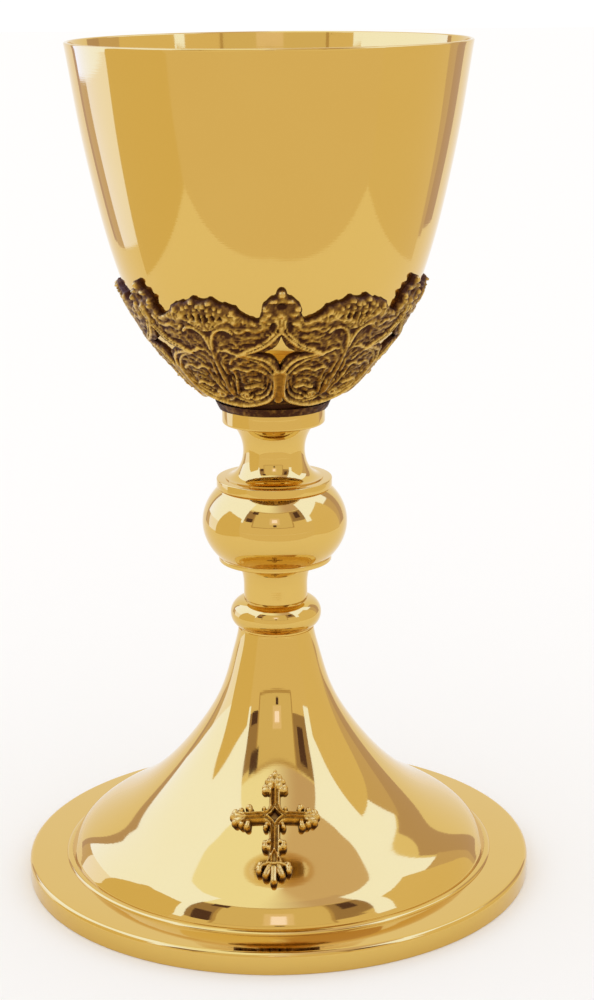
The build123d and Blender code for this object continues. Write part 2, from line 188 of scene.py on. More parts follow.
rim_outline = [(SKIRT_INNER, 0)]
rim_outline += rounded_edge(SKIRT_RADIUS, 0, RIM_TOP, RIM_FOOT_ROUND, RIM_EDGE_ROUND, 5, 16)
rim_outline += corner_arc((BELL_SIDE_RADIUS, RIM_TOP), STEP_WIDTH, STEP_HEIGHT, 0, 90, 10)
rim_outline += [(BELL_SIDE_RADIUS, RIM_TOP), (PLATE_HOLE, RIM_TOP), (PLATE_HOLE, PLATE_BOTTOM),
                (SKIRT_INNER, PLATE_BOTTOM)]
polished_part("base_rim_turned", "base_rim", rim_outline, around=320)

# ==== Foot ====
# A bell spun from brass sheet over a former, plated and polished outside and in. Its flare rolls over a
# rounded shoulder to a steep side that stands in the step of the rim; its neck is closed but for a bore.

FOOT_TOP = 67.4
FOOT_WALL = 1.2
ROD_BORE = 4.3
BELL_NECK = [(10.0, FOOT_TOP), (11.4, 61.2), (14.8, 50.1), (21.6, 38.5), (31.4, 27.0), (41.2, 19.2), (48.4, 14.9),
             (52.9, 11.5)]
BELL_ROLL = [(52.9, 11.5), (55.3, 8.1), (BELL_SIDE_RADIUS, 6.3)]


def smooth_line(points, start, end, count):
    """Evenly spaced points on a smooth curve through these, with its first and last directions."""
    spots = np.array(points, dtype=float)
    gaps = np.hypot(*np.diff(spots, axis=0).T)
    size = len(spots)
    matrix = np.eye(size)
    wanted = np.zeros((size, 2))
    wanted[0] = np.array(start) / np.hypot(*start)
    wanted[-1] = np.array(end) / np.hypot(*end)
    for i in range(1, size - 1):
        before = gaps[i - 1]
        after = gaps[i]
        matrix[i, i - 1] = 1 / before
        matrix[i, i] = 2 / before + 2 / after
        matrix[i, i + 1] = 1 / after
        wanted[i] = 3 * ((spots[i] - spots[i - 1]) / before ** 2 + (spots[i + 1] - spots[i]) / after ** 2)
    speeds = np.linalg.solve(matrix, wanted)
    pieces = []
    t = np.linspace(0, 1, 120)[:, None]
    for i in range(size - 1):
        pieces.append((2 * t ** 3 - 3 * t ** 2 + 1) * spots[i] + (t ** 3 - 2 * t ** 2 + t) * gaps[i] * speeds[i]
                      + (3 * t ** 2 - 2 * t ** 3) * spots[i + 1] + (t ** 3 - t ** 2) * gaps[i] * speeds[i + 1])
    fine = np.concatenate(pieces)
    along = np.concatenate([[0], np.cumsum(np.hypot(*np.diff(fine, axis=0).T))])
    marks = np.linspace(0, along[-1], count)
    return np.stack([np.interp(marks, along, fine[:, 0]), np.interp(marks, along, fine[:, 1])], axis=1)


def beside(line, distance):
    """The same line moved to its left by a distance, or to its right if that is negative."""
    run = np.gradient(line, axis=0)
    run /= np.hypot(run[:, 0], run[:, 1])[:, None]
    return np.stack([line[:, 0] - run[:, 1] * distance, line[:, 1] + run[:, 0] * distance], axis=1)


bell_outside = smooth_line(BELL_NECK, (0.12, -1), (1, -1.03), 150)
roll_outside = smooth_line(BELL_ROLL, (1, -1.03), (0, -1), 26)
bell_inside = beside(bell_outside, -FOOT_WALL)
roll_inside = beside(roll_outside, -FOOT_WALL)
neck_inside = [tuple(point) for point in bell_inside if point[1] < FOOT_TOP - FOOT_WALL]
foot_outline = [(ROD_BORE, FOOT_TOP)]
foot_outline += [tuple(point) for point in bell_outside] + [tuple(point) for point in roll_outside[1:]]
foot_outline += [(BELL_SIDE_RADIUS, RIM_TOP), (BELL_SIDE_RADIUS - FOOT_WALL, RIM_TOP)]
foot_outline += [tuple(point) for point in roll_inside[:0:-1]] + neck_inside[::-1]
foot_outline += [(neck_inside[0][0] - 0.02, FOOT_TOP - FOOT_WALL), (ROD_BORE, FOOT_TOP - FOOT_WALL)]
polished_part("foot_spun", "foot", foot_outline)

# ==== Cross on the foot ====
# A small cast cross with leafed ends, gold plated and antiqued: dark patina is left in the hollows and
# rubbed off the ribs. Its back follows the bell, and studs on its back pass through the bell's wall.

CROSS_RADIUS = 32.4
CROSS_LEVEL = 26.1
CROSS_SLOPE = math.radians(41.0)
CROSS_THICKNESS = 2.4
CROSS_CELL = 0.19
CAST_CREASE = 65               # degrees between faces, past which an edge is sharp

# from the bare high points down to the bottom of the hollows
RUBBED = (0.70, 0.45, 0.11, 1.0)
HALF_RUBBED = (0.39, 0.215, 0.034, 1.0)
STAINED = (0.185, 0.088, 0.022, 1.0)
PATINA = (0.070, 0.026, 0.012, 1.0)


def antiqued_metal(name):
    """Cast metal, plated, darkened and rubbed back; the mesh's own "rubbed" values say where."""
    material, tree, surface, place = bare_metal(name)
    rubbed = new_node(tree, "ShaderNodeAttribute", attribute_name="rubbed")
    speckle = new_node(tree, "ShaderNodeTexNoise", Vector=place, Scale=900.0, Detail=3.0)
    shift = new_node(tree, "ShaderNodeMapRange", speckle.outputs["Fac"], 0.3, 0.7, -0.17, 0.17)
    total = new_node(tree, "ShaderNodeMath", rubbed.outputs["Fac"], shift.outputs["Result"],
                     operation="ADD", use_clamp=True).outputs[0]
    colours = new_node(tree, "ShaderNodeValToRGB", Fac=total)
    ramp_stops = colours.color_ramp.elements
    ramp_stops[0].position = 0.10
    ramp_stops[0].color = PATINA
    ramp_stops[1].position = 0.95
    ramp_stops[1].color = RUBBED
    ramp_stops.new(0.38).color = STAINED
    ramp_stops.new(0.66).color = HALF_RUBBED
    dull = new_node(tree, "ShaderNodeMapRange", total, 0.1, 0.95, 0.60, 0.27)
    tree.links.new(colours.outputs["Color"], surface["Base Color"])
    tree.links.new(dull.outputs["Result"], surface["Roughness"])
    fine_marks(tree, surface, place, 2400.0, 0.25)
    return material


ANTIQUED_GOLD = antiqued_metal("antiqued gold")


def softened(field, reach):
    """A field of heights, blurred over a few cells each way."""
    result = np.pad(field, reach, mode="edge")
    for axis in (0, 1):
        total = np.cumsum(result, axis=axis)
        width = 2 * reach + 1
        lead = np.take(total, range(width - 1, total.shape[axis]), axis=axis)
        lag = np.take(total, range(0, total.shape[axis] - width + 1), axis=axis)
        first = np.take(result, range(0, result.shape[axis] - width + 1), axis=axis)
        result = (lead - lag + first) / width
    return result


def rubbed_back(height, reach, lift=0.0):
    """Where a cloth would rub the patina off: high places, and places higher than what is round them."""
    proud = height - softened(height, reach)
    value = 0.42 + lift + 0.75 * (height - 0.55) + 1.5 * proud
    return np.clip(value, 0.0, 1.0)


def cut_sheet(level, front, back, rubbed, open_sides=False):
    """A relief with a front, a back and walls, kept where the level is positive and cut at its edge."""
    rows, columns = level.shape
    fields = np.concatenate([front, back, rubbed[..., None]], axis=-1)
    numbers = {}
    kept = []

    def numbered(key, values):
        if key not in numbers:
            numbers[key] = len(kept)
            kept.append(values)
        return numbers[key]

    def between(a, b):
        inner, outer = (a, b) if level[a] >= 0 else (b, a)
        if level[inner] == 0:
            return numbered(inner, fields[inner])
        t = level[inner] / (level[inner] - level[outer])
        return numbered((inner, outer), fields[inner] * (1 - t) + fields[outer] * t)

    faces = []
    for j in range(rows - 1):
        for i in range(columns - 1):
            corners = [(j, i), (j, i + 1), (j + 1, i + 1), (j + 1, i)]
            inside = [level[corner] >= 0 for corner in corners]
            if not any(inside):
                continue
            loop = []
            for k, corner in enumerate(corners):
                following = (k + 1) % 4
                if inside[k]:
                    loop.append(numbered(corner, fields[corner]))
                if inside[k] != inside[following]:
                    loop.append(between(corner, corners[following]))
            loop = list(dict.fromkeys(loop))
            if len(loop) > 2:
                faces.append(loop)
    sides = set()
    for place, number in numbers.items():
        ends = place if isinstance(place[0], tuple) else (place,)
        if {column for row, column in ends} in ({0}, {columns - 1}):
            sides.add(number)
    edges = dict.fromkeys(pair for loop in faces for pair in zip(loop, loop[1:] + loop[:1]))
    count = len(kept)
    walls = [[a, a + count, b + count, b] for a, b in edges
             if (b, a) not in edges and not (open_sides and a in sides and b in sides)]
    shell = faces + [[k + count for k in reversed(loop)] for loop in faces] + walls
    table = np.array(kept)
    return np.concatenate([table[:, :3], table[:, 3:6]]), shell, list(table[:, 6]) + [0.0] * count


def store_values(mesh, name, values):
    """Give every corner point of a mesh a value that its material reads by name."""
    layer = mesh.attributes.new(name, "FLOAT", "POINT")
    layer.data.foreach_set("value", [float(value) for value in values])


def relief_mesh(name, points, faces, values):
    mesh = bpy.data.meshes.new(name)
    mesh.from_pydata([tuple(point * MM) for point in points], [], faces)
    store_values(mesh, "rubbed", values)
    mesh.shade_smooth()
    mesh.set_sharp_from_angle(angle=math.radians(CAST_CREASE))
    return mesh


def distance_to(x, y, points, across=1.0, up=1.0):
    """Distance from every (x, y) to a chain of points, and how far along it the nearest spot is."""
    best = np.full(x.shape, 1e9)
    along = np.zeros(x.shape)
    spans = len(points) - 1
    for k in range(spans):
        ax = (points[k][0] - x) * across
        ay = (points[k][1] - y) * up
        bx = (points[k + 1][0] - x) * across
        by = (points[k + 1][1] - y) * up
        dx = bx - ax
        dy = by - ay
        t = np.clip(-(ax * dx + ay * dy) / (dx * dx + dy * dy + 1e-12), 0, 1)
        d = np.hypot(ax + t * dx, ay + t * dy)
        nearer = d < best
        best = np.where(nearer, d, best)
        along = np.where(nearer, (k + t) / spans, along)
    return best, along


def both(a, b, blend):
    """Join two levels with a soft inside corner."""
    mix = np.clip(0.5 + 0.5 * (a - b) / blend, 0, 1)
    return b * (1 - mix) + a * mix + blend * mix * (1 - mix)


# (x, y, radius) of the round lobes that make the leafed ends, on the right half of the cross
SIDE_LEAF = [(9.3, 0, 1.9), (10.75, 0.35, 0.85), (10.2, 1.45, 0.95), (10.2, -1.25, 0.9), (8.6, 1.9, 0.8),
             (8.6, -1.9, 0.85), (6.6, 2.5, 0.95), (6.3, 1.75, 0.7), (7.1, -2.6, 0.95), (6.9, -1.8, 0.8)]
TOP_LEAF = [(0, 11.8, 0.5), (0, 10.9, 0.85), (1, 10.3, 0.85), (1.75, 9.2, 0.95), (0.6, 9.2, 1),
            (1.2, 8, 1.1), (2.45, 7.7, 0.9), (2.6, 6.8, 0.8), (1.6, 6.9, 0.9)]
BUDS = [(2.75, 1.95, 0.62), (2.3, -3.1, 0.72), (2, -2.3, 0.6), (2.35, -7.6, 0.8), (2.3, -8.6, 0.95),
        (1.5, -7.2, 0.7), (1.3, -9, 0.8), (3.3, -13.9, 0.95), (3.7, -14.9, 0.95), (3.7, -15.8, 0.8), (2.5, -13.9, 0.7)]
PETALS = [((1.15, -14.9), (1.95, -16.9), 1.0), ((0.0, -15.2), (0.0, -18.75), 0.9)]
CROSS_SPINES = [[(0, 8.6), (0, 1.9)], [(0, -2.0), (0, -9.6)], [(1.8, 0), (8.2, 0)],
                [(0, -9.4), (0.75, -11.2), (0.75, -13.4)]]
YOKE = [(0, -13.7), (1.6, -13.5), (2.9, -14.2)]
YOKE_HALF = 0.42
UPRIGHT_HALF = 1.45
CROSSBAR_HALF = 1.42


def crowned(share):
    """The rounded top of a bar, from 1 at its middle to 0 at its edge, where the share is 1."""
    return np.sqrt(np.clip(1 - share ** 2, 0, 1))


def ridge_at(value, middle, width):
    """A soft ridge of height 1 where the value is at the middle."""
    return np.exp(-((value - middle) / width) ** 2)


def eased_edge(level, reach, least):
    """A quarter round that takes heights down to their least share at the cut edge."""
    edge = np.clip(level / reach, 0, 1)
    return least + (1 - least) * np.sqrt(1 - (1 - edge) ** 2)


def lobes(x, y, places):
    """Level and height of a cluster of overlapping round lobes."""
    level = np.full(x.shape, -9.0)
    height = np.zeros(x.shape)
    for px, py, radius in places:
        away = np.hypot(x - px, y - py)
        level = np.maximum(level, radius - away)
        height = np.maximum(height, 0.56 + 0.44 * crowned(away / radius))
    return level, height


def cross_relief(x, y):
    """Level, positive inside the outline of the cross, and height as a share of its thickness."""
    side = np.abs(x)
    upright = UPRIGHT_HALF - distance_to(x, y, [(0, 9.0), (0, -12.5)])[0]
    crossbar = CROSSBAR_HALF - distance_to(x, y, [(-8.5, 0), (8.5, 0)])[0]
    bars = both(upright, crossbar, 2.4)
    tulip = 0.9 + np.clip((-9.5 - y) * 0.32, 0, 1.5) - side
    bars = np.maximum(bars, np.minimum(tulip, np.minimum(-9.0 - y, y + 14.4)))
    height = 0.58 + 0.36 * ridge_at(bars, 0.45, 0.21)
    spine = np.min([distance_to(side, y, line)[0] for line in CROSS_SPINES], axis=0)
    height = np.maximum(height, 0.60 + 0.40 * ridge_at(spine, 0, 0.26))
    diamond = (side / 1.75) ** 0.75 + (np.abs(y) / 1.9) ** 0.75
    height = np.where(diamond < 1.55, 0.60 + 0.4 * ridge_at(diamond, 1.22, 0.2), height)
    height = np.where(diamond < 1.0, 0.30, height)
    height = np.where(bars > 0, height, 0)
    level = bars
    for places in (SIDE_LEAF, TOP_LEAF, BUDS):
        lobe_level, lobe_height = lobes(side, y, places)
        covers = (lobe_level > 0) & ((bars < 0.35) | (places is not BUDS))
        height = np.where(covers, np.maximum(lobe_height * 0.97, np.where(bars > 0.2, height, 0)), height)
        level = np.maximum(level, lobe_level)
    for start, end, radius in PETALS:
        away = distance_to(side, y, [start, end])[0]
        level = np.maximum(level, radius - away)
        petal = 0.60 + 0.30 * crowned(away / radius) + 0.12 * ridge_at(away, 0.55, 0.17)
        height = np.where(away < radius, petal - 0.10 * ridge_at(away, 0, 0.2), height)
    yoke = distance_to(side, y, YOKE)[0]
    height = np.where(yoke < YOKE_HALF, 0.66 + 0.26 * crowned(yoke / YOKE_HALF), height)
    veins = np.sin(np.arctan2(y, side - 6.8) * 11.0) * (side > 7.6) + np.sin(x * 5.2) * (y > 6.5)
    height = (height + 0.05 * veins) * eased_edge(level, 0.45, 0.80)
    return level, np.clip(height, 0.2, 1.0)


def onto_bell(x, y):
    """Points on the bell under (x, y) on the plane of the cross, and the plane's outward direction."""
    outward = np.array([0, -math.sin(CROSS_SLOPE), math.cos(CROSS_SLOPE)])
    uphill = np.array([0, math.cos(CROSS_SLOPE), math.sin(CROSS_SLOPE)])
    plane = np.array([0, -CROSS_RADIUS, CROSS_LEVEL]) + x[..., None] * np.array([1.0, 0, 0]) + y[..., None] * uphill
    heights = bell_outside[::-1, 1]
    radii = bell_outside[::-1, 0]
    low = np.full(x.shape, -9.0)
    high = np.full(x.shape, 6.0)
    for _ in range(40):
        middle = (low + high) / 2
        spot = plane + middle[..., None] * outward
        outside = np.hypot(spot[..., 0], spot[..., 1]) > np.interp(spot[..., 2], heights, radii)
        high = np.where(outside, middle, high)
        low = np.where(outside, low, middle)
    return plane + low[..., None] * outward, outward


across = np.arange(-12.2, 12.2 + CROSS_CELL / 2, CROSS_CELL)
upward = np.arange(-20.4, 13.0, CROSS_CELL)
cross_x, cross_y = np.meshgrid(across, upward)
cross_level, cross_height = cross_relief(cross_x, cross_y)
cross_level[np.abs(cross_level) < 0.1 * CROSS_CELL] = 0
bell_spots, bell_outward = onto_bell(cross_x, cross_y)
cross_front = bell_spots + (cross_height * CROSS_THICKNESS)[..., None] * bell_outward
cross_rubbed = rubbed_back(cross_height, 3, lift=0.30)
cross_points, cross_faces, cross_values = cut_sheet(cross_level, cross_front, bell_spots + 0.01 * bell_outward,
                                                    cross_rubbed)
cross_mesh = relief_mesh("cross_cast", cross_points, cross_faces, cross_values)
stand_in(cross_mesh, "cross", ANTIQUED_GOLD)

# ==== Studs, nuts and tie rod inside the foot ====
# Two brass studs with small hexagon nuts hold the cross. A steel tie rod runs from inside the bell up
# to the cup, and a brass cone washer, a spring washer and a hexagon nut draw the whole stack together.

BRASS = (0.78, 0.53, 0.22)
TARNISHED_BRASS = (0.52, 0.32, 0.13)
STEEL = (0.60, 0.59, 0.57)
DULL_STEEL = (0.42, 0.41, 0.40)

PLAIN_BRASS = turned_metal("plain brass", BRASS, TARNISHED_BRASS, smooth=0.22, hazy=0.42, line_scale=1800.0,
                           line_depth=0.12)
PLAIN_STEEL = turned_metal("plain steel", STEEL, DULL_STEEL, smooth=0.20, hazy=0.38, line_scale=2200.0,
                           line_depth=0.16)


def finish_as_framed(nodes, material):
    """Keep plain parts of the frame as they are, in their own metal."""
    for node in nodes:
        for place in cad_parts[node].material_slots:
            place.material = material


finish_as_framed(["cross_studs", "cross_nuts", "foot_bridge"], PLAIN_BRASS)
finish_as_framed(["tie_rod", "lock_washer", "rod_nut"], PLAIN_STEEL)

# ==== Bead and lower stem ====
# A half-round turned bead covers the joint on the neck of the foot. A short column stands on it and
# flares out in a quarter ellipse under the knop. Both are turned brass, plated and polished.

BEAD_TOP = 75.5
BEAD_NECK = 8.0
BEAD_BELLY = 4.0
LOWER_STEM_RADIUS = 8.4
LOWER_STEM_FLARE = 11.4
LOWER_FLARE_START = 79.0
LOWER_STEM_TOP = 86.0

bead_middle = (FOOT_TOP + BEAD_TOP) / 2
bead_outline = [(ROD_BORE, FOOT_TOP), (BEAD_NECK + BEAD_BELLY * 0.44, FOOT_TOP)]
bead_outline += corner_arc((BEAD_NECK, bead_middle), BEAD_BELLY, (BEAD_TOP - FOOT_TOP) / 2, -64, 90, 44)
bead_outline += [(ROD_BORE, BEAD_TOP)]
polished_part("stem_bead_turned", "stem_bead", bead_outline)

lower_outline = [(ROD_BORE, BEAD_TOP), (LOWER_STEM_RADIUS, BEAD_TOP)]
lower_outline += [(LOWER_STEM_RADIUS, BEAD_TOP + 1), (LOWER_STEM_RADIUS, LOWER_FLARE_START - 1)]
lower_outline += corner_arc((LOWER_STEM_FLARE, LOWER_FLARE_START), LOWER_STEM_FLARE - LOWER_STEM_RADIUS,
                            LOWER_STEM_TOP - LOWER_FLARE_START, 180, 90, 40)
lower_outline += [(ROD_BORE, LOWER_STEM_TOP)]
polished_part("lower_stem_turned", "lower_stem", lower_outline)

# ==== Knop and its flanges ====
# A hollow flattened ball, spun in brass, held between two turned discs whose spigots centre it. A plain
# brass sleeve round the tie rod takes the load inside it.

KNOP_RADIUS = 19.0
KNOP_HALF_HEIGHT = 14.6
KNOP_CENTRE = 96.5
KNOP_WALL = 1.5
KNOP_TOP = 105.9
BOTTOM_FLANGE_TOP = 87.5
BOTTOM_FLANGE_RADIUS = 14.85
BOTTOM_FLANGE_ROUND = 0.4
TOP_FLANGE_TOP = 108.3
TOP_FLANGE_RADIUS = 15.1
TOP_FLANGE_ROUND = 0.3
SPIGOT_RADIUS = 11.6
SPIGOT_HEIGHT = 1.5


def knop_wall(radius, half_height, count):
    """The knop's ellipse between its two flanges."""
    low = math.degrees(math.asin((BOTTOM_FLANGE_TOP - KNOP_CENTRE) / half_height))
    high = math.degrees(math.asin((KNOP_TOP - KNOP_CENTRE) / half_height))
    return corner_arc((0, KNOP_CENTRE), radius, half_height, low, high, count)


bottom_disc = [(ROD_BORE, LOWER_STEM_TOP)]
bottom_disc += rounded_edge(BOTTOM_FLANGE_RADIUS, LOWER_STEM_TOP, BOTTOM_FLANGE_TOP, BOTTOM_FLANGE_ROUND,
                            BOTTOM_FLANGE_ROUND)
bottom_disc += [(SPIGOT_RADIUS, BOTTOM_FLANGE_TOP), (SPIGOT_RADIUS, BOTTOM_FLANGE_TOP + SPIGOT_HEIGHT),
                (ROD_BORE, BOTTOM_FLANGE_TOP + SPIGOT_HEIGHT)]
polished_part("knop_bottom_disc", "knop_bottom_flange", bottom_disc)

knop_outline = knop_wall(KNOP_RADIUS, KNOP_HALF_HEIGHT, 72)
knop_outline += knop_wall(KNOP_RADIUS - KNOP_WALL, KNOP_HALF_HEIGHT - KNOP_WALL, 40)[::-1]
polished_part("knop_spun", "knop", knop_outline)

top_disc = [(ROD_BORE, KNOP_TOP - SPIGOT_HEIGHT), (SPIGOT_RADIUS, KNOP_TOP - SPIGOT_HEIGHT),
            (SPIGOT_RADIUS, KNOP_TOP)]
top_disc += rounded_edge(TOP_FLANGE_RADIUS, KNOP_TOP, TOP_FLANGE_TOP, TOP_FLANGE_ROUND, TOP_FLANGE_ROUND)
top_disc += [(ROD_BORE, TOP_FLANGE_TOP)]
polished_part("knop_top_disc", "knop_top_flange", top_disc)
finish_as_framed(["knop_sleeve"], PLAIN_BRASS)

# ==== Upper stem and collar ====
# A waisted spool turned in one piece, with a quarter-ellipse flare at its foot, and the plain collar
# that the calyx is seated on. Plated and polished like the rest of the stem.

SPOOL_BASE = 12.8
SPOOL_BASE_EDGE = 0.3
SPOOL_WAIST = 8.05
SPOOL_WAIST_LEVEL = 115.6
SPOOL_HEAD = 11.0
SPOOL_TOP = 122.9
COLLAR_RADIUS = 13.36
COLLAR_ROUND = 0.7
COLLAR_TOP_ROUND = 0.15
COLLAR_TOP = 127.1
BOSS_BORE = 6.6
BOSS_BOTTOM = 124.0

spool_foot = TOP_FLANGE_TOP + SPOOL_BASE_EDGE
spool_outline = [(ROD_BORE, TOP_FLANGE_TOP), (SPOOL_BASE, TOP_FLANGE_TOP)]
spool_outline += corner_arc((SPOOL_BASE, SPOOL_WAIST_LEVEL), SPOOL_BASE - SPOOL_WAIST,
                            SPOOL_WAIST_LEVEL - spool_foot, 270, 180, 48)
spool_rise = smooth_line([(SPOOL_WAIST, SPOOL_WAIST_LEVEL), (8.85, 119.6), (SPOOL_HEAD, SPOOL_TOP)], (0, 1),
                         (1, 1.1), 40)
spool_outline += [tuple(point) for point in spool_rise[1:]] + [(ROD_BORE, SPOOL_TOP)]
polished_part("upper_stem_turned", "upper_stem", spool_outline)

collar_outline = [(ROD_BORE, SPOOL_TOP)]
collar_outline += rounded_edge(COLLAR_RADIUS, SPOOL_TOP, COLLAR_TOP, COLLAR_ROUND, COLLAR_TOP_ROUND, 12, 5)
collar_outline += [(BOSS_BORE, COLLAR_TOP), (BOSS_BORE, BOSS_BOTTOM), (ROD_BORE, BOSS_BOTTOM)]
polished_part("collar_turned", "collar", collar_outline)

# ==== Calyx seat ring ====
# The tapered foot of the calyx casting: left as cast and dark with patina, with an uneven edge.

SEAT_FOOT = 14.2
SEAT_RADIUS = 15.2
SEAT_TOP = 129.2
SEAT_AROUND = 256


def rough(u, v, cells_u, cell_v, seed):
    """Soft random heights from 0 to 1 that repeat once over a turn of u from 0 to 1."""
    draws = np.random.RandomState(seed)
    rows = 90
    table = draws.rand(rows, cells_u)
    x = (u % 1.0) * cells_u
    y = np.clip(v / cell_v, 0, rows - 2.001)
    i = np.floor(x).astype(int) % cells_u
    j = np.floor(y).astype(int)
    fx = x - np.floor(x)
    fy = y - j
    fx = fx * fx * (3 - 2 * fx)
    fy = fy * fy * (3 - 2 * fy)
    following = (i + 1) % cells_u
    low = table[j, i] * (1 - fx) + table[j, following] * fx
    high = table[j + 1, i] * (1 - fx) + table[j + 1, following] * fx
    return low * (1 - fy) + high * fy


seat_steps = 9
seat_outline = [(BOSS_BORE, COLLAR_TOP)]
for step in range(seat_steps + 1):
    part = step / seat_steps
    seat_outline.append((SEAT_FOOT + (SEAT_RADIUS - SEAT_FOOT) * part, COLLAR_TOP + (SEAT_TOP - COLLAR_TOP) * part))
seat_outline.append((BOSS_BORE, SEAT_TOP))
seat_mesh = turned_mesh("calyx_seat_cast", seat_outline, SEAT_AROUND)
seat_rubbed = []
for vertex in seat_mesh.vertices:
    radius = math.hypot(vertex.co.x, vertex.co.y) / MM
    turn = np.array((math.atan2(vertex.co.y, vertex.co.x) / (2 * math.pi)) % 1.0)
    rise = np.array((vertex.co.z / MM - COLLAR_TOP) + 1.0)
    pitted = float(0.6 * rough(turn, rise, 90, 0.9, 11) + 0.4 * rough(turn, rise, 200, 0.5, 12))
    seat_rubbed.append(0.05 + 0.75 * max(0.0, pitted - 0.42))
    if radius > BOSS_BORE + 1:
        shrink = 1 - 0.32 * (1 - pitted) / radius
        vertex.co.x *= shrink
        vertex.co.y *= shrink
store_values(seat_mesh, "rubbed", seat_rubbed)
stand_in(seat_mesh, "calyx_ring", ANTIQUED_GOLD)

# ==== Calyx ====
# A cast openwork shell that holds the bowl: six finials and six shell-headed lobes round its edge, six
# pierced four-pointed stars, and scrolls and leaves between. Gold plated, darkened and rubbed back. One
# sixth is modelled, as a relief over (degrees from its finial, height), and repeated round the turn.

REPEATS = 6
CALYX_TURN = 5.0
CALYX_BULGE = [(SEAT_RADIUS, SEAT_TOP), (23.8, 134.9), (30.2, 142.6), (35.2, 150.3), (40.2, 164.0)]
CUP_BOTTOM = 132.2
CUP_WALL = 1.0
CUP_SIDE = [(0, CUP_BOTTOM), (17, 135.2), (29, 143.6), (36.9, 157.4), (44.3, 183), (48.1, 202.3), (50.8, 219.5)]
CALYX_WALL = 2.4
RELIEF_DEPTH = 2.0
RELIEF_FLOOR = 0.35            # least metal left behind the deepest hollow
CUP_GAP = 0.03
FINIAL_PROUD = 1.1             # how far the finials' relief stands out past the shell
JOIN_WITHIN = 0.00004          # metres
FLOOR_INSET = 1.2
FLOOR_THICKNESS = 1.2
CALYX_COLUMNS = 84
CALYX_ROWS = 100

# the upper edge, from the middle of the finial to the middle of the lobe: (degrees, height)
EDGE = [(0, 163.6), (1.2, 163.3), (1.9, 162.4), (2.1, 161.7), (3.3, 161.3), (4.6, 160.9), (5.3, 160.3),
        (6.6, 159.6), (7.3, 158.7), (7.2, 157.9), (6.8, 157.4), (7.5, 157), (8.1, 156.2), (8.4, 155.5),
        (9.2, 155.3), (12, 155.9), (15, 156.9), (16.1, 157.7), (16.9, 158.7), (18.4, 158.8), (19.6, 159.1),
        (21.2, 159.6), (22.3, 159.3), (24, 159.8), (25.4, 160.6), (26.8, 160.9), (28, 160.3), (30, 160.1)]
STAR_HOLE = [(0, 151.3), (0.8, 150), (1.9, 148.8), (3.6, 147.8), (6.6, 147.1), (11.2, 146.6), (6.2, 145.9),
             (3.2, 145.1), (1.6, 144), (0.7, 142.8), (0, 141.7)]

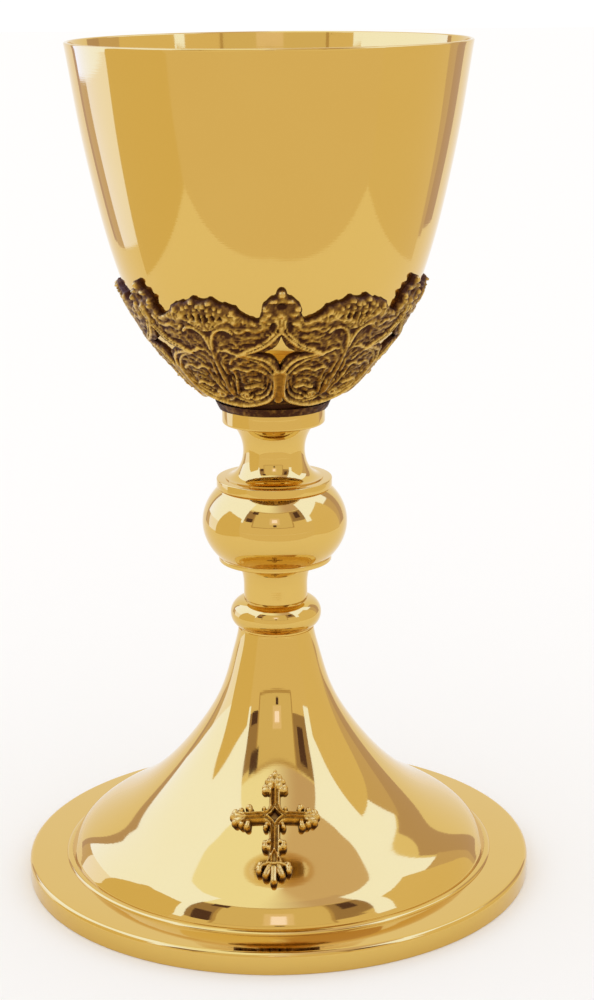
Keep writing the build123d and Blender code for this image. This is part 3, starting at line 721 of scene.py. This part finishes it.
# raised cords of the scrolls and ribs: (places, half width at each end, height)
CORDS = [
    ([(0.7, 152.3), (3, 150.7), (6, 149), (10, 147.7), (14.5, 146.8), (19, 146.2)], 0.42, 0.42, 1),
    ([(1.3, 156), (1.8, 154), (3.4, 151.9), (5.8, 150.3), (9.4, 148.8), (14, 147.6), (19, 146.5),
      (23, 147.2)], 0.38, 0.36, 0.95),
    ([(19, 146.1), (14, 146), (10.5, 145.5), (7, 144.8), (4.4, 143.6), (2.6, 142.2), (1.2, 141)], 0.42, 0.42,
     1),
    ([(19, 145.9), (14, 145.2), (10, 144.2), (7, 142.9), (4.8, 141.6), (3.4, 140.6)], 0.38, 0.34, 0.9),
    ([(0, 157.4), (0, 152.6)], 0.5, 0.8, 0.86),
    ([(2.6, 141.2), (2.5, 137.5), (2.9, 134.6), (5, 132.9), (10, 131.6), (20, 130.5), (30, 129.95)], 0.5, 0.75,
     0.95),
    ([(3.9, 140.2), (4, 138), (5.2, 135.7), (8.2, 133.8), (12.5, 132.9), (17.5, 132.6)], 0.42, 0.38, 0.76),
    ([(6, 140.4), (6.2, 138.2), (7.8, 136), (10.8, 134.6), (14.6, 134)], 0.36, 0.3, 0.62),
    ([(8.4, 140), (8.7, 138.3), (10.4, 136.8), (13, 135.9)], 0.34, 0.3, 0.55),
    ([(9.4, 136.6), (12.4, 137.2), (16, 136.6), (19.5, 136.3)], 0.5, 0.35, 0.86),
    ([(10.2, 138.6), (13.4, 139.1), (17, 138.2)], 0.45, 0.3, 0.74),
    ([(7.2, 140.9), (9.4, 141.6), (13, 142.2), (17, 141.5), (20.4, 142.3), (24, 141.6)], 0.5, 0.4, 0.82),
    ([(12.2, 140.3), (16, 140.2), (19.5, 139.4)], 0.45, 0.3, 0.7),
    ([(30, 152.7), (30, 156.8)], 0.34, 0.44, 0.86),
    ([(29.2, 152.7), (28.4, 154.8), (27.2, 157.2)], 0.32, 0.40, 0.88),
    ([(28.4, 152.8), (26.4, 154.6), (24.4, 156.2)], 0.32, 0.40, 0.84),
    ([(27.6, 152.9), (25, 154.2), (22.6, 155.2), (20.2, 155.6)], 0.32, 0.36, 0.82),
    ([(29.4, 147.6), (28.9, 149.8), (27.4, 151.7), (24.6, 153), (21.4, 153.1), (19.2, 152)], 0.4, 0.4, 0.9),
    ([(26.8, 148.6), (26.2, 150.3), (24.4, 151.4), (22.6, 151.5)], 0.3, 0.26, 0.55),
    ([(16.9, 155.2), (17.1, 156.9), (18.9, 157.3), (20, 156.4), (19.3, 155.5), (18.4, 155.9)], 0.4, 0.3, 0.9),
    ([(9.6, 154.5), (12, 155), (14.6, 155.6), (16.6, 155.5)], 0.9, 0.6, 0.72),
    ([(7.6, 153.4), (10, 152.8), (13, 153.4), (17, 152.4), (18.6, 153.4)], 0.7, 0.5, 0.80),
    ([(8.6, 151.2), (11, 151.3), (14, 150.8), (17.4, 151.4)], 0.5, 0.4, 0.68),
    ([(11, 149.8), (14, 149.6), (17.4, 149.2), (20.4, 149.6)], 0.4, 0.35, 0.62),
    ([(21, 146.6), (23, 147.4), (25.4, 147.2)], 0.55, 0.4, 0.86),
    ([(30, 133.6), (30, 139), (30, 144.6), (30, 150.6)], 0.55, 0.5, 0.78),
    ([(28.6, 134.6), (27.4, 137.6), (26.8, 140.8), (27.6, 143.6)], 0.45, 0.35, 0.72),
    ([(26, 134.2), (24, 137), (22.8, 139.6), (23, 141.6)], 0.45, 0.3, 0.7),
    ([(14.4, 144.5), (17.2, 144.3), (19, 143.4)], 0.42, 0.3, 0.72),
    ([(19.6, 145.3), (22, 144.6), (23.8, 143.4)], 0.42, 0.3, 0.74),
    ([(23.6, 146.1), (25.8, 145.2), (27.6, 143.9)], 0.42, 0.3, 0.7),
    ([(26.6, 147.4), (28.2, 146.4), (29.4, 145)], 0.42, 0.3, 0.72),
    ([(9.4, 143.3), (12.4, 143.6), (15, 143.2)], 0.4, 0.3, 0.7),
    ([(23, 149.6), (25, 149), (26.6, 147.8)], 0.34, 0.26, 0.6),
    ([(13, 131.9), (20, 131.4), (26, 131.9), (30, 132.8)], 0.34, 0.34, 0.66),
]
# broad leaves under the cords: (places, half width at each end, height)
LEAVES = [
    ([(30, 152.8), (30, 156), (30, 159)], 0.9, 3.4, 0.74),
    ([(8, 153.6), (12, 153.2), (17.5, 153.6)], 1.2, 1, 0.74),
    ([(9, 151), (14, 150.2), (20, 150.6)], 0.9, 0.9, 0.62),
    ([(6.5, 156.2), (6.8, 154), (5.6, 151.8)], 1.1, 0.5, 0.74),
    ([(22.6, 150), (25.5, 149.2), (28, 146.6)], 1.1, 0.8, 0.6),
    ([(11, 143), (16, 143), (22, 145)], 0.9, 1.2, 0.66),
    ([(8, 141.4), (13, 141.2), (19, 140.6)], 0.9, 1, 0.68),
    ([(9.5, 137.4), (14, 138), (19, 137.2)], 1.3, 0.8, 0.66),
    ([(21, 143), (24, 140.6), (25, 136.5)], 1.4, 0.9, 0.6),
    ([(30, 134), (30, 140), (30, 149.5)], 1.2, 1.5, 0.62),
    ([(16, 135.2), (21.5, 134.2), (27, 133.4)], 1.2, 0.9, 0.6),
    ([(20, 148.4), (24.5, 147.4), (29, 144)], 0.8, 0.7, 0.62),
]
# round knuckles: (degrees, height, half width across, half width up, height of relief)
KNUCKLES = [(0, 162.5, 1.05, 1, 1), (3.5, 160.7, 0.8, 0.7, 0.86), (5.9, 158.8, 0.85, 0.95, 0.92),
            (2.2, 160.9, 0.7, 0.6, 0.8), (0, 157.2, 1.2, 0.65, 1), (4.7, 157.5, 0.95, 0.7, 0.92),
            (7.3, 156, 0.8, 0.7, 0.82), (6.9, 154.2, 0.9, 1.1, 0.82), (5.4, 151.9, 0.5, 0.6, 0.7),
            (29, 159, 0.75, 0.6, 0.92), (26.6, 159.9, 0.8, 0.6, 1), (27.4, 158.2, 0.6, 0.5, 0.86),
            (24.4, 158.7, 0.6, 0.5, 0.9), (24.9, 157.4, 0.5, 0.45, 0.8), (22.4, 158.2, 0.75, 0.5, 0.86),
            (20.8, 157.2, 0.5, 0.6, 0.8), (18.4, 157.8, 0.75, 0.55, 0.88), (10.6, 144.6, 0.5, 0.4, 0.6),
            (21.2, 134, 0.7, 0.7, 0.86)]
# dark cells sunk into it: (degrees, height, half width across, half width up)
CELLS = [(0, 159.4, 1.15, 0.95), (3.2, 153.9, 0.75, 1.5), (28.7, 155.9, 0.62, 1.05), (25.9, 156, 0.6, 0.85),
         (23.2, 152, 1.2, 0.75), (22.9, 156.1, 0.5, 0.42), (13.4, 148.9, 1.8, 0.45), (8.6, 149.8, 0.9, 0.4),
         (14.4, 136, 1.3, 0.28), (27.2, 139, 0.55, 1.5), (24.6, 139.4, 0.5, 1.2)]


def flowing(points, count=26):
    """A smooth line through (degrees, height) places; four places or more bend, fewer run straight."""
    first = (points[1][0] - points[0][0], points[1][1] - points[0][1])
    last = (points[-1][0] - points[-2][0], points[-1][1] - points[-2][1])
    return [tuple(point) for point in smooth_line(points, first, last, count)]


def curl(centre, start, end, radius, tightness, across, up):
    """A spiral that winds inwards, in degrees and height."""
    places = []
    for step in range(40):
        part = step / 39
        angle = math.radians(start + (end - start) * part)
        reach = radius * (1 - tightness * part)
        places.append((centre[0] + reach * math.cos(angle) / across, centre[1] + reach * math.sin(angle) / up))
    return places


def signed_distance(x, y, outline, across, up, close_at):
    """Distance from an outline, positive on the side that holds the middle of the closing points."""
    away = distance_to(x, y, outline, across, up)[0]
    ring = list(outline) + close_at
    inside = np.zeros(x.shape, dtype=bool)
    for k, (ax, ay) in enumerate(ring):
        bx, by = ring[(k + 1) % len(ring)]
        if ay == by:
            continue
        crosses = ((ay > y) != (by > y)) & (x < (bx - ax) * (y - ay) / (by - ay) + ax)
        inside ^= crosses
    return np.where(inside, away, -away)


def ramp(value, start, length):
    """0 up to the start, and 1 from the start plus the length on."""
    return np.clip((value - start) / length, 0, 1)


def from_line(points):
    """Millimetres from a line drawn on the sixth, and how far along it the nearest spot is."""
    return distance_to(fold, row_height, points, mm_across, mm_up)


def in_oval(middle, level, wide, tall):
    """0 at the middle of an oval on the sixth, and 1 at its edge."""
    return np.hypot((fold - middle) * mm_across / wide, (row_height - level) * mm_up / tall)


calyx_outside = smooth_line(CALYX_BULGE, (1, 0.35), (0.26, 1), CALYX_ROWS + 1)
cup_outside = smooth_line(CUP_SIDE, (1, 0), (0.17, 1), 150)
row_run = np.gradient(calyx_outside, axis=0)
row_run /= np.hypot(row_run[:, 0], row_run[:, 1])[:, None]
room = np.array([distance_to(np.array(r), np.array(z), cup_outside)[0] for r, z in calyx_outside])

degrees = np.linspace(-180 / REPEATS, 180 / REPEATS, CALYX_COLUMNS + 1)
turn, row_height = np.meshgrid(degrees, calyx_outside[:, 1])
fold = np.abs(turn)
row_radius = np.repeat(calyx_outside[:, :1], CALYX_COLUMNS + 1, axis=1)
mm_across = row_radius * math.pi / 180
mm_up = np.repeat((1 / row_run[:, 1])[:, None], CALYX_COLUMNS + 1, axis=1)

calyx_level = signed_distance(fold, row_height, EDGE, mm_across, mm_up,
                              [(40, 160.1), (40, 100), (-9, 100), (-9, 163.6)])
hole = signed_distance(fold, row_height, STAR_HOLE, mm_across, mm_up, [(-9, 141.9), (-9, 151.3)])
calyx_level = np.minimum(calyx_level, -hole)

# ragged leafy ground
u = (turn + 180 / REPEATS) / (360 / REPEATS)
v = row_height - SEAT_TOP
leafy = 1 - np.abs(2 * rough(u + 0.02 * np.sin(v), v, 22, 1.5, 3) - 1)
leafy = 0.55 * leafy ** 2.2 + 0.45 * (1 - np.abs(2 * rough(u, v, 40, 0.8, 5) - 1)) ** 2
in_field = ramp(v, 5, 4) * ramp(row_height, 158.5, -2)
near_edge = ramp(row_height, 153, 2)
relief = 0.20 + 0.50 * leafy * in_field + 0.26 * near_edge
finial_body = np.clip(1 - from_line([(0, 162), (0, 156)])[0] / 5.5, 0, 1)
relief = np.maximum(relief, 0.62 * finial_body * near_edge)

for places, first_half, last_half, high in LEAVES:
    away, along = from_line(flowing(places))
    half = first_half + (last_half - first_half) * along
    fibres = 0.80 + 0.14 * np.cos(away / half * 7.5) + 0.22 * (leafy - 0.4)
    relief = np.maximum(relief, high * fibres * np.clip(1.5 - 1.5 * away / half, 0, 1) ** 0.5)
ragged = 0.86 + 0.26 * rough(u, v, 34, 1.1, 21)
for places, first_half, last_half, high in CORDS:
    away, along = from_line(flowing(places))
    half = first_half + (last_half - first_half) * along
    crown = high * crowned(away / (half * 1.3))
    relief = np.maximum(relief, crown if high >= 0.9 else crown * ragged)
pillar = from_line([(0, 141.3), (0, 132.4)])[0]
relief = np.maximum(relief, 0.82 * np.clip((1.25 - pillar) / 0.25, 0, 1) ** 0.5)
spiral = curl((21.0, 134.0), -150, 250, 1.75, 0.75, 0.40, 1.6)
relief = np.maximum(relief, 0.84 * crowned(from_line(spiral)[0] / 0.45))
for middle, level, wide, tall, high in KNUCKLES:
    relief = np.maximum(relief, high * np.sqrt(np.clip(1.15 - in_oval(middle, level, wide, tall) ** 2, 0, 1)))
for oval in CELLS:
    sunk = np.clip(1.3 - in_oval(*oval) ** 2, 0, 1)
    relief = relief * (1 - sunk) + np.minimum(relief, 0.06) * sunk
# small tooling on the leaves, the same in every sixth
relief += 0.10 * (rough(u, v, 60, 0.55, 9) - 0.5) * (relief < 0.8)
relief = np.maximum(relief, 0.34 * np.clip(1.6 - v, 0, 1))
relief = np.clip(relief, 0.0, 1.08) * eased_edge(calyx_level, 0.5, 0.62)

depth = np.minimum(RELIEF_DEPTH, room - RELIEF_FLOOR)[:, None] + 0 * relief
wall = np.minimum(CALYX_WALL, room - CUP_GAP)[:, None] + 0 * relief
proud = FINIAL_PROUD * ramp(row_height, 151, 8)


def calyx_points(inwards):
    """Places on the calyx a distance inside its outermost skin."""
    radius = calyx_outside[:, :1] - row_run[:, 1:] * inwards
    height = calyx_outside[:, 1:] + row_run[:, :1] * inwards
    angle = np.radians(turn + CALYX_TURN)
    return np.stack([radius * np.sin(angle), -radius * np.cos(angle), height + 0 * angle], axis=-1)


calyx_level[np.abs(calyx_level) < 0.04] = 0
calyx_front = calyx_points(depth * (1 - relief) - proud * relief)
calyx_back = calyx_points(wall)
sixth_points, sixth_faces, sixth_values = cut_sheet(calyx_level, calyx_front, calyx_back, rubbed_back(relief, 3),
                                                    open_sides=True)
sixth_mesh = relief_mesh("calyx_sixth", sixth_points, sixth_faces, sixth_values)


def round_the_turn(mesh, name, count, material):
    """Geometry Nodes: set copies of a sector side by side round the axis and close the joins."""
    tree = bpy.data.node_groups.new("sectors_round_the_axis", "GeometryNodeTree")
    sockets = {}
    for label, kind in (("Sector", "NodeSocketGeometry"), ("Sectors in the turn", "NodeSocketInt"),
                        ("Join within", "NodeSocketFloat"), ("Metal", "NodeSocketMaterial")):
        sockets[label] = tree.interface.new_socket(label, in_out="INPUT", socket_type=kind).identifier
    tree.interface.new_socket("Ring", in_out="OUTPUT", socket_type="NodeSocketGeometry")
    given = new_node(tree, "NodeGroupInput").outputs
    spots = new_node(tree, "GeometryNodePoints", Count=given["Sectors in the turn"])
    index = new_node(tree, "GeometryNodeInputIndex")
    share = new_node(tree, "ShaderNodeMath", index.outputs[0], given["Sectors in the turn"], operation="DIVIDE")
    angle = new_node(tree, "ShaderNodeMath", share.outputs[0], 2 * math.pi, operation="MULTIPLY")
    upright = new_node(tree, "ShaderNodeCombineXYZ", Z=angle.outputs[0])
    copies = new_node(tree, "GeometryNodeInstanceOnPoints", Points=spots.outputs[0], Instance=given["Sector"],
                      Rotation=upright.outputs[0])
    solid = new_node(tree, "GeometryNodeRealizeInstances", copies.outputs[0])
    joined = new_node(tree, "GeometryNodeMergeByDistance", Geometry=solid.outputs[0], Distance=given["Join within"])
    metal = new_node(tree, "GeometryNodeSetMaterial", Geometry=joined.outputs[0], Material=given["Metal"])
    new_node(tree, "NodeGroupOutput", metal.outputs[0])
    sector = bpy.data.objects.new(name + "_sector", mesh)
    scene.collection.objects.link(sector)
    modifier = sector.modifiers.new("ring", "NODES")
    modifier.node_group = tree
    modifier[sockets["Sectors in the turn"]] = count
    modifier[sockets["Join within"]] = JOIN_WITHIN
    modifier[sockets["Metal"]] = material
    evaluated = sector.evaluated_get(bpy.context.evaluated_depsgraph_get())
    ring = bpy.data.meshes.new_from_object(evaluated)
    ring.name = name
    sector.modifiers.remove(modifier)
    bpy.data.objects.remove(sector)
    return ring


calyx_mesh = round_the_turn(sixth_mesh, "calyx_cast", REPEATS, ANTIQUED_GOLD)
# the flat floor that the shell is screwed down by
floor_edge = SEAT_RADIUS - FLOOR_INSET
floor_outline = [(BOSS_BORE, SEAT_TOP), (floor_edge, SEAT_TOP), (floor_edge, SEAT_TOP + FLOOR_THICKNESS),
                 (BOSS_BORE, SEAT_TOP + FLOOR_THICKNESS)]
calyx_floor = turned_mesh("calyx_floor", floor_outline, around=96)
whole = bmesh.new()
whole.from_mesh(calyx_mesh)
whole.from_mesh(calyx_floor)
whole.to_mesh(calyx_mesh)
whole.free()
calyx_mesh.shade_smooth()
calyx_mesh.set_sharp_from_angle(angle=math.radians(CAST_CREASE))
stand_in(calyx_mesh, "calyx", ANTIQUED_GOLD)

# ==== Cup ====
# A bowl spun from one sheet of even thickness with a rounded lip, gold plated and mirror-polished inside
# and out. A threaded brass boss under it takes the tie rod.

LIP_TOP = 219.99

cup_inside = beside(cup_outside, CUP_WALL)
lip_middle = (cup_outside[-1] + cup_inside[-1]) / 2
cup_outline = [tuple(point) for point in cup_outside]
cup_outline += corner_arc(tuple(lip_middle), CUP_WALL / 2, LIP_TOP - lip_middle[1], 12, 168, 12)
cup_outline += [tuple(point) for point in cup_inside[:0:-1]] + [(0, CUP_BOTTOM + CUP_WALL)]
polished_part("cup_spun", "cup", cup_outline, around=288)
finish_as_framed(["cup_boss"], PLAIN_BRASS)

# ==== Floor, lights and camera ====
# A plain pale floor under a plain soft studio. Mirror-polished metal shows the whole set, so the soft
# boxes, grey screens and dark gaps round the camera stand where they are seen in the polish.

VIEW_TURN = math.radians(1.6)
DOME_LEVEL = 0.08              # metres, the height that bent cards are measured from
FILL = 1.06                    # how bright the plain white studio is on all but the polish


def studio_material(name, colour):
    material = bpy.data.materials.new(name)
    material.use_nodes = True
    tree = material.node_tree
    tree.nodes.clear()
    glow = new_node(tree, "ShaderNodeEmission", Color=(*colour, 1.0))
    new_node(tree, "ShaderNodeOutputMaterial", Surface=glow.outputs[0])
    return material


def card(name, corners, colour, steps=1):
    """A studio card that only shows in the polish: corners go round it."""
    a, b, c, d = [Vector(corner) for corner in corners]
    row = steps + 1
    points = []
    faces = []
    for j in range(row):
        for i in range(row):
            u = i / steps
            v = j / steps
            points.append((a * (1 - u) + b * u) * (1 - v) + (d * (1 - u) + c * u) * v)
            if i < steps and j < steps:
                k = j * row + i
                faces.append((k, k + 1, k + row + 1, k + row))
    mesh = bpy.data.meshes.new(name)
    mesh.from_pydata(points, [], faces)
    mesh.materials.append(studio_material(name, colour))
    board = bpy.data.objects.new(name, mesh)
    scene.collection.objects.link(board)
    board.rotation_euler = (0, 0, VIEW_TURN)
    for rays in ("camera", "diffuse", "shadow", "transmission"):
        setattr(board, "visible_" + rays, False)
    return board


def side_card(name, x, near, far, low, high, colour):
    """An upright card beside the chalice, from one y to another and from one height to another."""
    card(name, [(x, near, low), (x, far, low), (x, far, high), (x, near, high)], colour)


def dome_card(name, left, right, low, high, colour, radius):
    """A card bent round the set, between degrees right of the front and degrees above level."""
    board = card(name, [(left, low, 0), (right, low, 0), (right, high, 0), (left, high, 0)], colour, steps=32)
    for vertex in board.data.vertices:
        az = math.radians(vertex.co.x)
        el = math.radians(vertex.co.y)
        vertex.co = (radius * math.sin(az) * math.cos(el), -radius * math.cos(az) * math.cos(el),
                     DOME_LEVEL + radius * math.sin(el))
    return board


def wash(board, left, right, start, end):
    """Let a card's light change smoothly from left to right, between two places in degrees."""
    tree = board.data.materials[0].node_tree
    store_values(board.data, "azimuth", [math.degrees(math.atan2(v.co.x, -v.co.y)) for v in board.data.vertices])
    azimuth = new_node(tree, "ShaderNodeAttribute", attribute_name="azimuth")
    spread = new_node(tree, "ShaderNodeMapRange", azimuth.outputs["Fac"], start, end,
                      interpolation_type="SMOOTHSTEP")
    blend = new_node(tree, "ShaderNodeMix", data_type="RGBA", Factor=spread.outputs["Result"], A=(*left, 1.0),
                     B=(*right, 1.0))
    glow = next(node for node in tree.nodes if node.type == "EMISSION")
    tree.links.new(blend.outputs["Result"], glow.inputs["Color"])


SOFT = (1.22, 1.60, 3.6)
PEACH = (1.15, 1.34, 2.5)
FRONT = (0.905, 0.83, 0.72)
PANEL = (0.86, 0.80, 0.70)
PANEL_EDGE = (0.60, 0.48, 0.36)
LEFT_GREY = (0.875, 0.78, 0.55)
RIGHT_GREY = (0.905, 0.83, 0.69)
DIM = (0.42, 0.32, 0.29)
DARK = (0.11, 0.066, 0.09)
CEILING_LEFT = (1.14, 1.34, 1.95)
CEILING_RIGHT = (0.72, 0.63, 0.78)
CEILING_MIDDLE = (0.80, 0.72, 0.85)
BACK = (0.985, 0.98, 0.97)
BROWN = (0.62, 0.51, 0.55)
WARM = (0.74, 0.64, 0.62)
GLINT = (1.30, 1.40, 3.1)
GLOW = (0.98, 0.92, 1.1)

# screens and soft boxes that stand on the table: x, two places in y, two heights
side_card("left_softbox", -0.40, 0.40, -0.22, 0.13, 0.82, SOFT)
side_card("left_softbox_foot", -0.40, 0.40, -0.22, 0, 0.13, PEACH)
side_card("left_low_edge", -0.395, 0.40, 0.28, 0, 0.13, WARM)
side_card("left_edge", -0.40, 0.47, 0.40, 0, 0.36, BROWN)
card("left_grey", [(-0.321, 0.097, 0), (-0.338, -0.233, 0), (-0.338, -0.215, 0.290), (-0.338, -0.01, 0.290)],
     LEFT_GREY)
side_card("right_soft", 0.44, -0.24, 0.26, 0.30, 0.86, SOFT)
card("right_grey", [(0.375, -0.191, 0), (0.360, 0.225, 0), (0.370, 0.06, 0.43), (0.375, -0.191, 0.34)], RIGHT_GREY)
side_card("right_warm", 0.42, 0.06, 0.30, 0, 0.36, WARM)
side_card("right_brown", 0.44, 0.30, 0.50, 0, 0.5, BROWN)
card("apron_left", [(-0.338, -0.233, 0.001), (0, -0.256, 0.001), (0, -1.2, 0.001), (-1.6, -0.45, 0.001)], FRONT)
card("apron_right", [(0, -0.256, 0.001), (0.375, -0.191, 0.001), (1.6, -0.40, 0.001), (0, -1.2, 0.001)], FRONT)

# bent cards: degrees from left to right, degrees from low to high, light, distance
BENT_CARDS = {
    "front": (-82, 82, -14, 34, FRONT, 1.3),
    "front_panel_edge": (-38, 31, 13, 49.5, PANEL_EDGE, 1.17),
    "front_panel": (-36, 29, 14.5, 48.5, PANEL, 1.15),
    "front_sides": (-36, 36, 34, 50, FRONT, 1.25),
    "gap_left": (-54, -36, 25, 47, DIM, 1.2),
    "gap_left_core": (-50, -39, 24, 32, DARK, 1.1),
    "gap_left_bar": (-45, -33, 43, 48.5, DARK, 1.1),
    "gap_right": (29, 54, 27, 49, DIM, 1.2),
    "gap_right_core": (37, 47, 34, 46.5, DARK, 1.1),
    "lamp_glow": (-9, 8, 22.5, 37.5, GLOW, 1.12),
    "lamp": (-5, 4, 26.5, 34, GLINT, 1.1),
    "lens": (-2.6, 2.6, 17, 21.8, DARK, 1.1),
    "upper_left": (-140, -54, 20, 62, SOFT, 1.28),
    "upper_right": (54, 125, 20, 61, SOFT, 1.28),
    "ceiling_front": (-60, 60, 50, 66, CEILING_LEFT, 1.36),
    "ceiling": (-180, 180, 61, 87, CEILING_LEFT, 1.37),
    "ceiling_far": (-180, 180, 86, 90, SOFT, 1.38),
}
bent = {name: dome_card(name, *place) for name, place in BENT_CARDS.items()}
wash(bent["ceiling_front"], CEILING_LEFT, CEILING_RIGHT, -22, 32)
wash(bent["ceiling"], CEILING_LEFT, CEILING_MIDDLE, -22, 32)

FLOOR_HALF = 6
floor_corners = [(-FLOOR_HALF, -FLOOR_HALF, 0), (FLOOR_HALF, -FLOOR_HALF, 0), (FLOOR_HALF, FLOOR_HALF, 0),
                 (-FLOOR_HALF, FLOOR_HALF, 0)]
floor_mesh = bpy.data.meshes.new("floor")
floor_mesh.from_pydata(floor_corners, [], [(0, 1, 2, 3)])
floor = bpy.data.objects.new("floor", floor_mesh)
scene.collection.objects.link(floor)
pale = bpy.data.materials.new("pale floor")
pale.use_nodes = True
pale_surface = pale.node_tree.nodes["Principled BSDF"].inputs
pale_surface["Base Color"].default_value = (0.95, 0.935, 0.925, 1)
pale_surface["Roughness"].default_value = 0.9
pale_surface["Specular IOR Level"].default_value = 0.0
floor_mesh.materials.append(pale)

scene.world = bpy.data.worlds.new("studio")
scene.world.use_nodes = True
studio = scene.world.node_tree
studio.nodes.clear()
paths = new_node(studio, "ShaderNodeLightPath")
white = new_node(studio, "ShaderNodeBackground", Color=(1.0, 1.0, 1.0, 1.0), Strength=FILL)
polish = new_node(studio, "ShaderNodeBackground", Color=(*BACK, 1.0))
mix = new_node(studio, "ShaderNodeMixShader", paths.outputs["Is Glossy Ray"], white.outputs[0], polish.outputs[0])
new_node(studio, "ShaderNodeOutputWorld", Surface=mix.outputs[0])

scene.view_settings.view_transform = "Standard"

LENS = 75.83
CAMERA_AWAY = 0.5338
CAMERA_HEIGHT = 0.24207
LOOK_DOWN = 14.72              # degrees, as are the next two
LOOK_RIGHT = 0.63
LEAN = -0.53

camera = bpy.data.objects.new("camera", bpy.data.cameras.new("camera"))
scene.collection.objects.link(camera)
camera.data.lens = LENS
camera.data.clip_start = 0.01
stand = Matrix.Translation((CAMERA_AWAY * math.sin(VIEW_TURN), -CAMERA_AWAY * math.cos(VIEW_TURN), CAMERA_HEIGHT))
pan = Matrix.Rotation(VIEW_TURN - math.radians(LOOK_RIGHT), 4, "Z")
tilt = Matrix.Rotation(math.radians(90 - LOOK_DOWN), 4, "X")
camera.matrix_world = stand @ pan @ tilt @ Matrix.Rotation(math.radians(LEAN), 4, "Z")
scene.camera = camera
